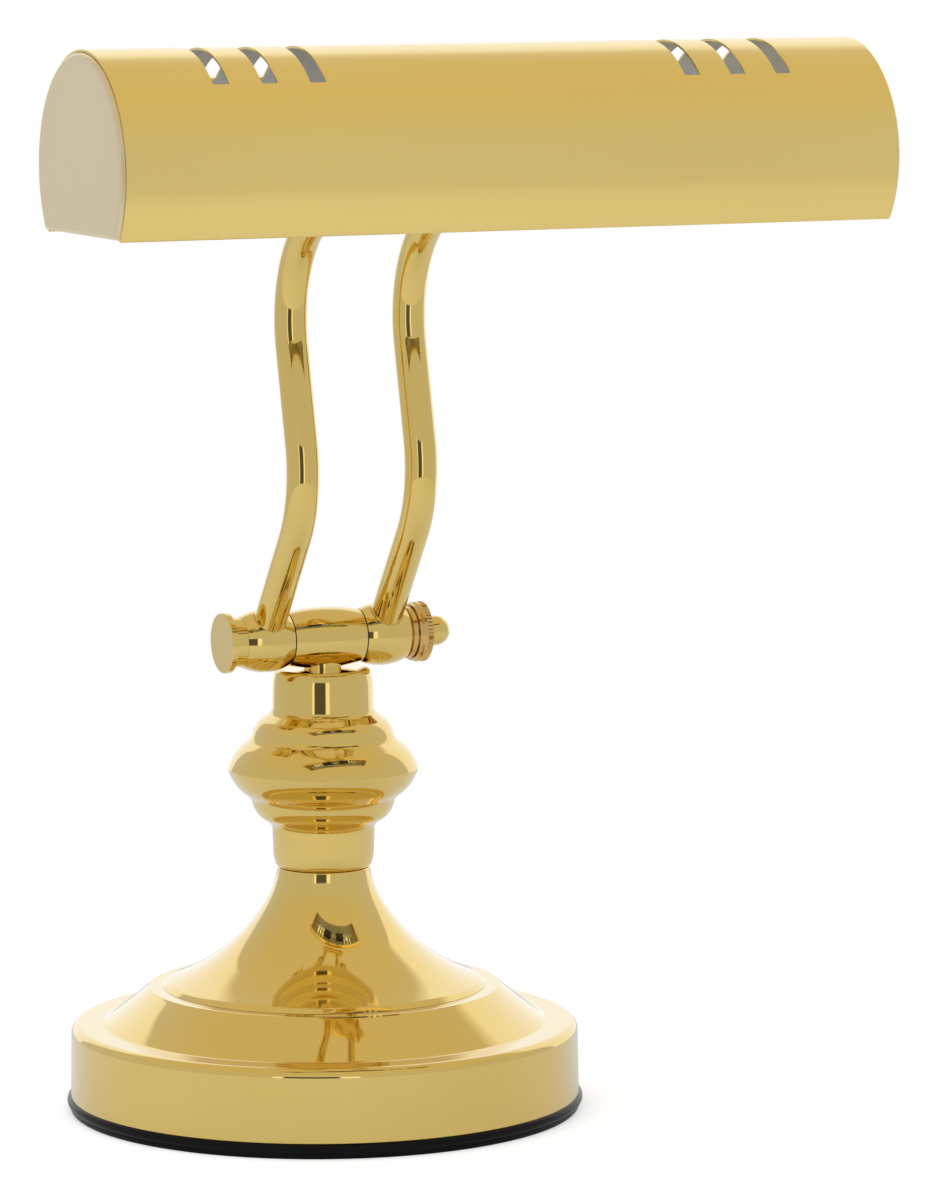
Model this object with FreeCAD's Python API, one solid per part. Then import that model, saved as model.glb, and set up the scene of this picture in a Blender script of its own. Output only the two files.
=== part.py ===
import FreeCAD, Part
import math
import os

Vector = FreeCAD.Vector
X_AXIS = Vector(1, 0, 0)
Y_AXIS = Vector(0, 1, 0)
Z_AXIS = Vector(0, 0, 1)
ORIGIN = Vector(0, 0, 0)

# A desk or piano lamp of polished brass. Millimetres, +Z up, origin on the table under the column's axis.
# The shade and both swivels lie along X. The front, over which the shade hangs, is -Y.

# Clearances
fit_gap = 0.05           # radial, between a shaft and its bore, and between a thread and its socket
face_gap = 0.05          # between two flat faces that are clamped or slide on each other
loose_gap = 0.3          # round anything that only has to pass by
on_plane = 0.01          # an edge nearer to a plane than this lies in it

# Rubber ring under the base
ring_height = 5.0
ring_stand_out = 1.1     # how far its upper bead stands out past the band
ring_width = 6.0
ring_lower_height = 1.9  # height of the lower, narrower bead
ring_lower_inset = 0.55  # how far the lower bead's foot lies inside the band
ring_lower_bulge = 0.35
ring_groove_stand_out = 0.2
ring_lip_width = 5.0     # inward lip, held between the bottom plate and the weight
ring_lip_height = 1.4

# Base pan and the bell on it, spun from sheet
shell_wall = 1.0
band_radius = 82.5
band_height = 20.4
band_flare = 0.3         # the band is this much wider at its foot
shoulder_radius = 3.0
lower_step_width = 7.4
tier_run = 14.3
tier_rise = 11.2
tier_bow = -0.3           # how far the tier's curve stands off its chord
lip_radius = 0.6
upper_step_width = 4.4
pan_flange_width = 6.0   # the pan's flat top under the bell's foot
bell_foot_run = 1.7
bell_foot_rise = 1.6
bell_run = 22.4          # the lower, flatter part of the bell
bell_rise = 13.9
bell_bow = 1.4
throat_run = 10.5        # the bell's middle, steeper part
throat_rise = 13.75
neck_rise = 9.45         # from there up to the seat of the column
neck_radius = 15.0

# Weight and bottom plate
weight_side_gap = 5.5
weight_recess_radius = 20.0
weight_web = 7.0         # iron left over the recess
weight_pocket_depth = 37.0   # clear space for the switch and the cord inlet, inward from the rim
weight_pocket_side = 24.0    # past the cord inlet's axis and past the switch's axis
lead_channel_width = 10.0
plate_thickness = 1.2
screw_count = 3
screw_circle = 50.0
screw_radius = 2.0
screw_length = 9.0
screw_head_radius = 3.8
screw_head_height = 2.0
screw_slot_width = 1.0
screw_slot_depth = 1.0
screw_first_angle = 30.0

# Threaded pipe that clamps base, column and lower swivel together
pipe_radius = 5.0
pipe_bore = 3.2
pipe_foot_height = 14.0
nut_flats = 14.0
nut_height = 4.0
washer_radius = 9.5
washer_thickness = 1.0
pipe_grip = 4.8          # thread length in the swivel body's boss

# Column: two equal spun half shells that meet at the ridge. Each half, from its ridge to its rim, has
# a wide ring, a narrower ring and a neck, with a cove above each ring.
column_wall = 0.9
half_height = 32.3
ridge_radius = 31.0
wide_ring_width = 4.5
wide_ring_rise = 7.4
wide_ring_bow = 0.55
wide_edge_width = 1.9
wide_edge_rise = 1.45
wide_cove_width = 1.5
wide_cove_rise = 2.15
narrow_ring_width = 2.6
narrow_ring_rise = 4.8
narrow_ring_bow = 0.4
narrow_edge_width = 2.5
narrow_edge_rise = 1.7
narrow_cove_width = 1.4
narrow_cove_rise = 2.1
neck_taper = 0.2
mouth_taper = 0.7
mouth_rise = 4.2
rim_width = 1.8
rim_rise = 1.3

# Swivels, the same at the foot and at the head of the arms
swivel_height = 10.0     # lower axis above the column's top
knuckle_inside_arm = 7.58    # how far a knuckle reaches from its arm's axis towards the barrel
barrel_middle_radius = 9.9
barrel_end_radius = 8.55
barrel_bore = 6.6
lower_boss_radius = 6.2
upper_boss_radius = 8.2
washer_gap = 0.3         # thickness of the friction washers
knuckle_length = 15.95
knuckle_middle_radius = 10.15
knuckle_end_radius = 8.05
knuckle_bore = 5.2
knuckle_web = 3.0
spigot_length = 3.0
bolt_radius = 3.0
bolt_end_gap = 1.5       # left between the bolt's end and the cap's dome
head_radius = 9.73
head_rim = 2.0
head_edge = 0.3
head_neck_radius = 8.0
head_height = 6.2
nut_hub_radius = 8.5
nut_hub_length = 1.5
nut_groove_depth = 0.6
nut_groove_width = 0.4
nut_ring_radius = 9.2
nut_ring_length = 1.0
nut_flange_radius = 9.75
nut_flange_length = 1.6
nut_knurl_length = 2.0
knurl_depth = 0.45
knurl_count = 48
acorn_radius = 4.9
acorn_straight = 4.3

# Arms: two bent tubes side by side. A lean is measured from upright, towards the front.
arm_spacing = 40.66
arm_radius = 5.3
arm_wall = 1.0
arm_end_gap = 4.2        # from a swivel's axis to the tube's end
arm_bend_radius = 37.0
arm_foot_lean = 36.2
arm_foot_length = 44.0
arm_middle_lean = -13.4
arm_middle_length = 31.0
arm_head_lean = 52.0
arm_head_length = 40.0

# Shade: an arched sheet, open below, with a pressed lid in each end
shade_radius = 35.5
shade_drop = 19.6        # from the arch's centre down to the open edge
shade_length = 254.0
shade_wall = 0.8
shade_standoff = 14.45   # from the upper swivel's axis to the back of the arch
hem_height = 5.0
hem_fold = 0.8           # the edge is folded inwards once
lid_reach = 1.4          # how far a lid stands out of the sheet, all of it rounded
lid_depth = 7.0
slot_count = 3
slot_width = 5.1
slot_pitch = 15.35
slot_from_end = 32.7
slot_half_span = 24.6    # half of a slot's width across the arch

# Lamps inside the shade
nipple_bore = 3.2
nipple_end = 1.0         # thread that shows past its nut
bracket_thickness = 1.5
bracket_height = 16.0
bracket_half_length = 12.0
ear_radius = 10.0
holder_radius = 12.8
holder_length = 36.0
holder_floor = 10.0
holder_lead_depth = 5.0  # how far a lead goes into the holder's floor
holder_round = 1.2
holder_socket_radius = 7.2
holder_boss_length = 6.0
holder_nut_height = 3.0
bulb_cap_radius = 6.9
bulb_cap_length = 24.0
bulb_cap_bevel = 1.2
bulb_radius = 12.5
bulb_length = 84.0
bulb_neck_radius = 6.2
bulb_neck_in_cap = 6.0
bulb_shoulder = 6.0      # length over which the neck widens to the bulb
bulb_wall = 0.7
stem_radius = 2.6
stem_length = 16.0
wire_radius = 0.35       # the two wires that hold the filament
wire_foot_spread = 1.3
filament_radius = 0.7    # of its coil
filament_spread = 5.0
block_width = 9.0
block_bevel = 0.6

# Wiring held inside the lamp
lead_radius = 2.1
lead_bend = 6.0

# Cord inlet and push switch in the back of the band
inlet_bore = 3.1
inlet_tube_radius = 4.9
inlet_flange_radius = 6.4
inlet_flange_thickness = 1.8
inlet_inside_length = 7.0
inlet_nut_radius = 7.5
inlet_nut_thickness = 2.5
fitting_height = 15.5
switch_angle = 30.0      # from the cord inlet round towards +X
switch_body_radius = 8.5
switch_body_length = 16.0
switch_bush_radius = 5.0
switch_bush_reach = 4.0
switch_nut_radius = 7.6
switch_nut_thickness = 2.0
button_radius = 3.2
button_reach = 9.0
button_travel = 2.5
button_collar = 0.8

# Places that follow from the sizes above
band_foot = ring_height + face_gap
step_height = band_foot + band_height + shoulder_radius
shell_inner_radius = band_radius - band_flare - shell_wall
upper_step_height = step_height + tier_rise + lip_radius
tier_foot_radius = band_radius - band_flare - shoulder_radius - lower_step_width
bell_foot_radius = tier_foot_radius - tier_run - lip_radius - upper_step_width
seat_height = upper_step_height + bell_foot_rise + bell_rise + throat_rise + neck_rise
ridge_height = seat_height + half_height
column_top = ridge_height + half_height
swivel_z = column_top + swivel_height
lip_foot = ring_height - face_gap
plate_top = lip_foot - ring_lip_height / 2
weight_foot = lip_foot + ring_lip_height / 2 + face_gap
weight_radius = shell_inner_radius - weight_side_gap
weight_top = step_height - shell_wall - face_gap
recess_top = weight_top - weight_web
arm_x = arm_spacing / 2
knuckle_start = arm_x - knuckle_inside_arm
knuckle_end = knuckle_start + knuckle_length
barrel_half_length = knuckle_start - washer_gap - 2 * face_gap
thumb_start = knuckle_end + face_gap
flange_start = thumb_start + nut_hub_length + nut_groove_width + nut_ring_length
thumb_end = flange_start + nut_flange_length + nut_knurl_length
acorn_start = thumb_end + face_gap
lid_inset = shade_wall + fit_gap * 2
sheet_half_length = shade_length / 2 - lid_reach


class Outline:
    """A line drawn in the plane of X and Z, from point to point, by straight runs and arcs."""

    def __init__(self, across, up):
        self.here = Vector(across, 0, up)
        self.start = self.here
        self.heading = Z_AXIS
        self.edges = []

    def add(self, edge, end):
        self.edges.append(edge)
        self.heading = edge.tangentAt(edge.LastParameter)
        self.here = end
        return self

    def line(self, across, up):
        end = Vector(across, 0, up)
        return self.add(Part.makeLine(self.here, end), end)

    def bow(self, across, up, rise):
        """An arc that stands off its chord by rise, to the right of the way it runs."""
        end = Vector(across, 0, up)
        chord = end - self.here
        side = chord.cross(Y_AXIS).normalize() * -rise
        middle = self.here + chord * 0.5 + side
        return self.add(Part.Arc(self.here, middle, end).toShape(), end)

    def curve(self, across, up):
        """An arc that carries on smoothly from what came before."""
        end = Vector(across, 0, up)
        chord = end - self.here
        along = chord.dot(self.heading)
        if chord.Length - along < 1e-6 * chord.Length:
            return self.line(across, up)
        inward = (chord - self.heading * along).normalize()
        radius = chord.Length ** 2 / (2 * chord.dot(inward))
        centre = self.here + inward * radius
        to_middle = (self.here + end) * 0.5 - centre
        if to_middle.Length < 1e-9:
            to_middle = self.heading
        middle = centre + to_middle.normalize() * radius
        if (middle - self.here).dot(self.heading) < 0:
            middle = centre - to_middle.normalize() * radius
        return self.add(Part.Arc(self.here, middle, end).toShape(), end)

    def line_by(self, across, up):
        return self.line(self.here.x + across, self.here.z + up)

    def bow_by(self, across, up, rise):
        return self.bow(self.here.x + across, self.here.z + up, rise)

    def curve_by(self, across, up):
        return self.curve(self.here.x + across, self.here.z + up)

    def wire(self):
        return Part.Wire(self.edges)

    def face(self):
        closing = Part.makeLine(self.here, self.start)
        return Part.Face(Part.Wire(self.edges + [closing]))


def turned_about_z(face):
    return face.revolve(ORIGIN, Z_AXIS, 360)


def turned_about_x(face):
    return face.revolve(ORIGIN, X_AXIS, 360)


def rod(start, direction, length, radius, bore=0.0):
    body = Part.makeCylinder(radius, length, start, direction)
    if bore:
        body = body.cut(Part.makeCylinder(bore, length, start, direction))
    return body


def hexagon(start, direction, height, flats, bore):
    """A hexagon nut that stands on start and rises along direction."""
    corner = flats / math.sqrt(3)
    points = [Vector(corner * math.cos(math.radians(60 * n)), corner * math.sin(math.radians(60 * n)), 0)
              for n in range(7)]
    nut = Part.Face(Part.makePolygon(points)).extrude(Z_AXIS * height)
    nut = nut.cut(rod(ORIGIN, Z_AXIS, height, bore))
    nut.Placement = FreeCAD.Placement(start, FreeCAD.Rotation(Z_AXIS, direction))
    return nut


def along_path(edges, radius, bore=0.0):
    """A round rod or tube along straight runs and arcs that meet smoothly."""
    pieces = []
    for edge in edges:
        start = edge.valueAt(edge.FirstParameter)
        heading = edge.tangentAt(edge.FirstParameter)
        section = Part.Face(Part.Wire(Part.makeCircle(radius, start, heading)))
        if bore:
            section = section.cut(Part.Face(Part.Wire(Part.makeCircle(bore, start, heading)))).Faces[0]
        if isinstance(edge.Curve, Part.Line):
            pieces.append(section.extrude(heading * edge.Length))
        else:
            centre = edge.Curve.Center
            axis = (start - centre).cross(heading)
            angle = math.degrees(edge.Length / edge.Curve.Radius)
            pieces.append(section.revolve(centre, axis, angle))
    body = pieces[0]
    for piece in pieces[1:]:
        body = body.fuse(piece)
    return body.removeSplitter().Solids[0]


def rounded_route(points, radius):
    """Straight runs between the points, joined by arcs of one radius."""
    edges = []
    here = points[0]
    for before, corner, after in zip(points, points[1:], points[2:]):
        back = (before - corner).normalize()
        ahead = (after - corner).normalize()
        half_turn = (math.pi - back.getAngle(ahead)) / 2
        reach = radius * math.tan(half_turn)
        arc_start = corner + back * reach
        arc_end = corner + ahead * reach
        inward = (back + ahead).normalize()
        middle = corner + inward * (radius / math.cos(half_turn) - radius)
        edges.append(Part.makeLine(here, arc_start))
        edges.append(Part.Arc(arc_start, middle, arc_end).toShape())
        here = arc_end
    edges.append(Part.makeLine(here, points[-1]))
    return edges


def mirrored(shape):
    return shape.mirror(ORIGIN, X_AXIS)


# Base

def base_pan():
    """The stamped pan: band, shoulder and tier, with a flat top that the bell stands on."""
    outline = Outline(band_radius, band_foot)
    outline.line_by(-band_flare, band_height)
    outline.curve_by(-shoulder_radius, shoulder_radius)
    outline.line_by(-lower_step_width, 0)
    outline.bow_by(-tier_run, tier_rise, tier_bow)
    outline.curve_by(-lip_radius, lip_radius)
    outline.line(bell_foot_radius - pan_flange_width, upper_step_height)
    pan = turned_about_z(outline.wire().makeOffset2D(shell_wall, 0, True, True).Faces[0])
    pan = pan.cut(radial_rod(0, inlet_tube_radius + fit_gap))
    return pan.cut(radial_rod(switch_angle, switch_bush_radius + fit_gap))


def base_bell():
    """The bell, closed at the top by a disc with the pipe's hole."""
    outline = Outline(bell_foot_radius, upper_step_height)
    outline.line_by(-bell_foot_run, bell_foot_rise)
    outline.bow_by(-bell_run, bell_rise, -bell_bow)
    outline.curve_by(-throat_run, throat_rise)
    outline.curve(neck_radius, seat_height)
    outline.line(pipe_radius + fit_gap, seat_height)
    bell = turned_about_z(outline.wire().makeOffset2D(shell_wall, 0, True, True).Faces[0])
    above = rod(Z_AXIS * (upper_step_height + face_gap), Z_AXIS, seat_height, band_radius)
    return bell.common(above).Solids[0]


def radial(angle, distance, sideways=0.0, up=0.0):
    """A point out from the base's middle, by an angle from +Y towards +X, at the fittings' height."""
    turn = math.radians(angle)
    outward = Vector(math.sin(turn), math.cos(turn), 0)
    across = Vector(math.cos(turn), -math.sin(turn), 0)
    return outward * distance + across * sideways + Z_AXIS * (fitting_height + up)


def outward(angle):
    return (radial(angle, 1.0) - radial(angle, 0.0)).normalize()


def radial_rod(angle, radius):
    """A drill that goes through the band and nothing else."""
    inner = shell_inner_radius - 2 * shell_wall
    return rod(radial(angle, inner), outward(angle), band_radius + shell_wall - inner, radius)


def base_ring():
    """Black rubber ring with an upper and a lower bead and an inward lip."""
    outer = band_radius
    inner = outer - ring_width
    outline = Outline(inner, 0)
    outline.line(outer - ring_lower_inset, 0)
    outline.bow(outer + ring_groove_stand_out, ring_lower_height, ring_lower_bulge)
    outline.bow(outer, ring_height, ring_stand_out)
    outline.line(outer - shell_wall - loose_gap, ring_height)
    outline.line(outer - shell_wall - loose_gap, weight_foot - face_gap)
    outline.line(inner - ring_lip_width, weight_foot - face_gap)
    outline.line(inner - ring_lip_width, plate_top + face_gap)
    outline.line(inner, plate_top + face_gap)
    return turned_about_z(outline.face())


def screw_places():
    step = 360 / screw_count
    angles = [math.radians(screw_first_angle + step * n) for n in range(screw_count)]
    return [Vector(screw_circle * math.cos(a), screw_circle * math.sin(a), plate_top - plate_thickness)
            for a in angles]


def base_weight():
    """Cast-iron disc inside the shell, with a pocket for the fittings and a channel for the lead."""
    foot = Vector(0, 0, weight_foot)
    weight = rod(foot, Z_AXIS, weight_top - weight_foot, weight_radius)
    bevel = shoulder_radius
    weight = weight.makeChamfer(bevel, [e for e in weight.Edges if e.BoundBox.ZMin > weight_top - on_plane])
    weight = weight.cut(rod(foot, Z_AXIS, recess_top - weight_foot, weight_recess_radius))
    weight = weight.cut(rod(ORIGIN, Z_AXIS, step_height, pipe_radius + fit_gap))
    pocket_width = weight_pocket_side * 2
    pocket_floor = weight_radius - weight_pocket_depth
    for angle in (0, switch_angle):
        pocket = Part.makeBox(pocket_width, weight_pocket_depth * 2, weight_top)
        pocket.translate(Vector(-pocket_width / 2, pocket_floor, weight_foot))
        pocket.rotate(ORIGIN, Z_AXIS, -angle)
        weight = weight.cut(pocket)
    channel = Part.makeBox(lead_channel_width, weight_radius, recess_top - weight_foot)
    channel.translate(Vector(-lead_channel_width / 2, 0, weight_foot))
    weight = weight.cut(channel)
    for place in screw_places():
        weight = weight.cut(rod(place, Z_AXIS, screw_length + loose_gap, screw_radius + fit_gap))
    return weight


def bottom_plate():
    radius = band_radius - ring_width - loose_gap
    plate = rod(Vector(0, 0, plate_top - plate_thickness), Z_AXIS, plate_thickness, radius)
    for place in screw_places():
        plate = plate.cut(rod(place, Z_AXIS, plate_thickness, screw_radius + fit_gap))
    return plate


def plate_screws():
    """Pan-head screws that hold the bottom plate to the weight."""
    screws = []
    for place in screw_places():
        shank = rod(place, Z_AXIS, screw_length, screw_radius)
        head_foot = place - Z_AXIS * (screw_head_height + face_gap)
        head = rod(head_foot, Z_AXIS, screw_head_height, screw_head_radius)
        neck = rod(head_foot, Z_AXIS, screw_head_height + face_gap, screw_radius)
        slot = Part.makeBox(2 * screw_head_radius, screw_slot_width, screw_slot_depth)
        slot.translate(head_foot - Vector(screw_head_radius, screw_slot_width / 2, 0))
        screws.append(shank.fuse([head, neck]).cut(slot).removeSplitter().Solids[0])
    return Part.makeCompound(screws)


def lamp_pipe():
    top = column_top + pipe_grip
    return rod(Vector(0, 0, pipe_foot_height), Z_AXIS, top - pipe_foot_height, pipe_radius, pipe_bore)


def pipe_washer():
    foot = Vector(0, 0, recess_top - face_gap - washer_thickness)
    return rod(foot, Z_AXIS, washer_thickness, washer_radius, pipe_radius + fit_gap)


def pipe_nut():
    foot = Vector(0, 0, recess_top - 2 * face_gap - washer_thickness - nut_height)
    return hexagon(foot, Z_AXIS, nut_height, nut_flats, pipe_radius + fit_gap)


def cord_inlet():
    """Flanged bush in the back of the band, through which a supply cord enters."""
    seat = band_radius + face_gap
    tube_start = shell_inner_radius - inlet_inside_length
    bush = rod(radial(0, tube_start), Y_AXIS, seat + inlet_flange_thickness - tube_start, inlet_tube_radius)
    flange = rod(radial(0, seat), Y_AXIS, inlet_flange_thickness, inlet_flange_radius)
    bush = bush.fuse(flange).removeSplitter()
    return bush.cut(rod(radial(0, tube_start), Y_AXIS, band_radius, inlet_bore)).Solids[0]


def behind_band(radius):
    """How far out a flat round piece of this radius can sit inside the curved band."""
    return math.sqrt(shell_inner_radius ** 2 - radius ** 2) - face_gap


def cord_inlet_nut():
    face = behind_band(inlet_nut_radius)
    start = radial(0, face - inlet_nut_thickness)
    return rod(start, Y_AXIS, inlet_nut_thickness, inlet_nut_radius, inlet_tube_radius + fit_gap)


def switch_housing():
    """Push switch: a round housing inside the band with a threaded bush that comes out through it."""
    face = behind_band(switch_body_radius)
    axis = outward(switch_angle)
    rear = radial(switch_angle, face - switch_body_length)
    housing = rod(rear, axis, switch_body_length, switch_body_radius)
    bush_length = band_radius + switch_bush_reach - face
    housing = housing.fuse(rod(radial(switch_angle, face), axis, bush_length, switch_bush_radius))
    depth = button_reach + button_travel + button_collar + bush_length
    floor = band_radius + switch_bush_reach - depth
    guide = rod(radial(switch_angle, floor), axis, depth, button_radius + fit_gap)
    return housing.removeSplitter().cut(guide).Solids[0]


def switch_nut():
    start = radial(switch_angle, band_radius + face_gap)
    bore = switch_bush_radius + fit_gap
    return rod(start, outward(switch_angle), switch_nut_thickness, switch_nut_radius, bore)


def switch_button():
    """The part that is pressed, out of the bush by its travel and a little more."""
    end = band_radius + switch_bush_reach + button_travel + button_collar
    length = button_reach + button_travel
    button = rod(radial(switch_angle, end - length), outward(switch_angle), length, button_radius)
    return button.makeFillet(button_collar, [nearest_edge(button, radial(switch_angle, end))])


def nearest_edge(shape, point):
    return min(shape.Edges, key=lambda edge: (edge.CenterOfMass - point).Length)


def base_lead():
    """The lead from the switch, through the weight's channel and up the pipe into the lower swivel."""
    low = weight_foot + lead_radius + face_gap
    rear = behind_band(switch_body_radius) - switch_body_length
    channel_mouth = weight_radius - weight_pocket_depth + lead_bend
    pipe_side = pipe_bore - lead_radius - fit_gap
    points = [
        radial(switch_angle, rear),
        radial(switch_angle, rear - 2 * lead_bend),
        Vector(0, channel_mouth, low),
        Vector(0, pipe_side, low),
        Vector(0, pipe_side, column_top + pipe_grip),
    ]
    return along_path(rounded_route(points, lead_bend), lead_radius)


# Column

def column_half():
    """One spun half of the vase, from its ridge at height 0 up to its rim."""
    outline = Outline(ridge_radius, 0)
    outline.bow_by(-wide_ring_width, wide_ring_rise, wide_ring_bow)
    outline.line_by(-wide_edge_width, wide_edge_rise)
    outline.curve_by(-wide_cove_width, wide_cove_rise)
    outline.bow_by(-narrow_ring_width, narrow_ring_rise, narrow_ring_bow)
    outline.line_by(-narrow_edge_width, narrow_edge_rise)
    outline.curve_by(-narrow_cove_width, narrow_cove_rise)
    outline.line(outline.here.x - neck_taper, half_height - rim_rise - mouth_rise)
    outline.curve_by(-mouth_taper, mouth_rise)
    outline.curve_by(-rim_width, rim_rise)
    outline.line(pipe_radius + fit_gap, half_height)
    half = turned_about_z(outline.wire().makeOffset2D(column_wall, 0, True, True).Faces[0])
    above = rod(ORIGIN, Z_AXIS, 2 * half_height, 2 * ridge_radius)
    return half.common(above).Solids[0]


def column_upper_shell():
    half = column_half()
    half.translate(Z_AXIS * ridge_height)
    return half


def column_lower_shell():
    half = column_half().mirror(ORIGIN, Z_AXIS)
    half.translate(Z_AXIS * ridge_height)
    return half


# Swivels, drawn with their axis along X through the origin

def barrel(boss_direction, boss_length, boss_radius):
    """The middle of a swivel: a bulged tube with a round boss that is screwed to what carries it."""
    outline = Outline(-barrel_half_length, 0)
    outline.line(-barrel_half_length, barrel_end_radius)
    outline.bow(barrel_half_length, barrel_end_radius, barrel_end_radius - barrel_middle_radius)
    outline.line(barrel_half_length, 0)
    body = turned_about_x(outline.face())
    body = body.fuse(rod(ORIGIN, boss_direction, boss_length, boss_radius)).removeSplitter()
    body = body.cut(rod(X_AXIS * -barrel_half_length, X_AXIS, 2 * barrel_half_length, barrel_bore))
    return body.cut(rod(ORIGIN, boss_direction, boss_length + boss_radius, pipe_radius + fit_gap)).Solids[0]


def knuckle(arm_direction):
    """The swivel's hollow end on the +X side: a spigot turns in the barrel, and a socket holds an arm."""
    outline = Outline(knuckle_start, 0)
    outline.line(knuckle_start, barrel_end_radius)
    middle = (barrel_end_radius + knuckle_end_radius) / 2
    outline.bow(knuckle_end, knuckle_end_radius, middle - knuckle_middle_radius)
    outline.line(knuckle_end, 0)
    body = turned_about_x(outline.face())
    spigot_start = X_AXIS * (knuckle_start - spigot_length)
    body = body.fuse(rod(spigot_start, X_AXIS, spigot_length, barrel_bore - fit_gap))
    chamber = knuckle_end - knuckle_web - spigot_start.x
    body = body.cut(rod(spigot_start, X_AXIS, chamber, knuckle_bore))
    body = body.cut(rod(ORIGIN, X_AXIS, knuckle_end, bolt_radius + fit_gap))
    socket_start = X_AXIS * arm_x + arm_direction * (arm_end_gap - face_gap)
    socket = rod(socket_start, arm_direction, knuckle_middle_radius, arm_radius + fit_gap)
    return body.cut(socket).removeSplitter().Solids[0]


def friction_washers():
    inner = barrel_half_length + face_gap
    right = rod(X_AXIS * inner, X_AXIS, washer_gap, barrel_end_radius - loose_gap, barrel_bore + fit_gap * 2)
    return Part.makeCompound([mirrored(right), right])


def pivot_bolt():
    """The bolt through a swivel, with a flat disc head on the -X side."""
    start = -(knuckle_end + face_gap)
    outline = Outline(start, 0)
    outline.line(start, head_neck_radius)
    outline.line(start - head_height + head_rim, head_neck_radius)
    outline.line(start - head_height + head_rim, head_radius)
    outline.line(start - head_height + head_edge, head_radius)
    outline.line(start - head_height, head_radius - head_edge)
    outline.line(start - head_height, 0)
    head = turned_about_x(outline.face())
    end = acorn_start + acorn_straight - bolt_end_gap
    return head.fuse(rod(X_AXIS * start, X_AXIS, end - start, bolt_radius)).removeSplitter().Solids[0]


def thumb_nut():
    """The knurled nut on the +X side that sets how firmly the swivel grips."""
    x = thumb_start
    outline = Outline(x, 0)
    outline.line(x, nut_hub_radius)
    x += nut_hub_length
    outline.line(x, nut_hub_radius)
    outline.line(x, nut_hub_radius - nut_groove_depth)
    x += nut_groove_width
    outline.line(x, nut_hub_radius - nut_groove_depth)
    outline.line(x, nut_ring_radius)
    x += nut_ring_length
    outline.line(x, nut_ring_radius)
    outline.line(x + nut_flange_radius - nut_ring_radius, nut_flange_radius)
    x += nut_flange_length
    outline.line(x, nut_flange_radius)
    outline.line(x, 0)
    body = turned_about_x(outline.face())
    knurl_points = []
    for n in range(2 * knurl_count + 1):
        angle = math.pi * n / knurl_count
        radius = nut_flange_radius - knurl_depth * (n % 2)
        knurl_points.append(Vector(x, radius * math.cos(angle), radius * math.sin(angle)))
    knurl = Part.Face(Part.makePolygon(knurl_points)).extrude(X_AXIS * nut_knurl_length)
    body = body.fuse(knurl)
    return body.cut(rod(ORIGIN, X_AXIS, thumb_end, bolt_radius + fit_gap)).Solids[0]


def acorn_nut():
    """The domed cap on the bolt's end."""
    straight_end = acorn_start + acorn_straight
    outline = Outline(acorn_start, 0)
    outline.line(acorn_start, acorn_radius)
    outline.line(straight_end, acorn_radius)
    outline.curve(straight_end + acorn_radius, 0)
    cap = turned_about_x(outline.face())
    return cap.cut(rod(ORIGIN, X_AXIS, straight_end + fit_gap, bolt_radius + fit_gap)).Solids[0]


# Arms

def leaning(angle):
    turn = math.radians(angle)
    return Vector(0, -math.sin(turn), math.cos(turn))


def bend(start, lean_from, lean_to):
    """The arc that turns the arm from one lean to another, and its end."""
    turn = math.radians(lean_to - lean_from)
    chord = 2 * arm_bend_radius * math.sin(abs(turn) / 2)
    half_chord = 2 * arm_bend_radius * math.sin(abs(turn) / 4)
    middle = start + leaning(lean_from + (lean_to - lean_from) / 4) * half_chord
    end = start + leaning((lean_from + lean_to) / 2) * chord
    return Part.Arc(start, middle, end).toShape(), end


def arm_route(x):
    """The middle line of an arm from one swivel's axis to the other, and the upper axis."""
    foot = Vector(x, 0, swivel_z)
    foot_end = foot + leaning(arm_foot_lean) * arm_foot_length
    first_bend, middle_start = bend(foot_end, arm_foot_lean, arm_middle_lean)
    middle_end = middle_start + leaning(arm_middle_lean) * arm_middle_length
    second_bend, head_start = bend(middle_end, arm_middle_lean, arm_head_lean)
    head = head_start + leaning(arm_head_lean) * arm_head_length
    tube_start = foot + leaning(arm_foot_lean) * arm_end_gap
    tube_end = head - leaning(arm_head_lean) * arm_end_gap
    edges = [
        Part.makeLine(tube_start, foot_end),
        first_bend,
        Part.makeLine(middle_start, middle_end),
        second_bend,
        Part.makeLine(head_start, tube_end),
    ]
    return edges, head


upper_axis = arm_route(0)[1]
lower_axis = Vector(0, 0, swivel_z)
shade_centre = upper_axis - Y_AXIS * (shade_radius + shade_standoff)


def arm_tube():
    return along_path(arm_route(arm_x)[0], arm_radius, arm_radius - arm_wall)


def arm_lead():
    """The lead inside the left arm, lying against one side of the tube."""
    lead_x = -arm_x + arm_radius - arm_wall - lead_radius - fit_gap
    edges = arm_route(lead_x)[0]
    clear = bolt_radius + loose_gap
    foot = edges[0].valueAt(edges[0].FirstParameter) + leaning(arm_foot_lean) * clear
    head = edges[-1].valueAt(edges[-1].LastParameter) - leaning(arm_head_lean) * clear
    edges[0] = Part.makeLine(foot, edges[0].valueAt(edges[0].LastParameter))
    edges[-1] = Part.makeLine(edges[-1].valueAt(edges[-1].FirstParameter), head)
    return along_path(edges, lead_radius)


# Shade, drawn with its arch centred on the X axis and moved to its place

def arch_face(radius, drop, x):
    """The D-shaped face of an arch, closed by a flat chord below its centre."""
    half_chord = math.sqrt(radius ** 2 - drop ** 2)
    back = Vector(x, half_chord, -drop)
    front = Vector(x, -half_chord, -drop)
    arch = Part.Arc(back, Vector(x, 0, radius), front).toShape()
    return Part.Face(Part.Wire([arch, Part.makeLine(front, back)]))


def arch_block(radius, drop, half_length):
    return arch_face(radius, drop, -half_length).extrude(X_AXIS * 2 * half_length)


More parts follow.
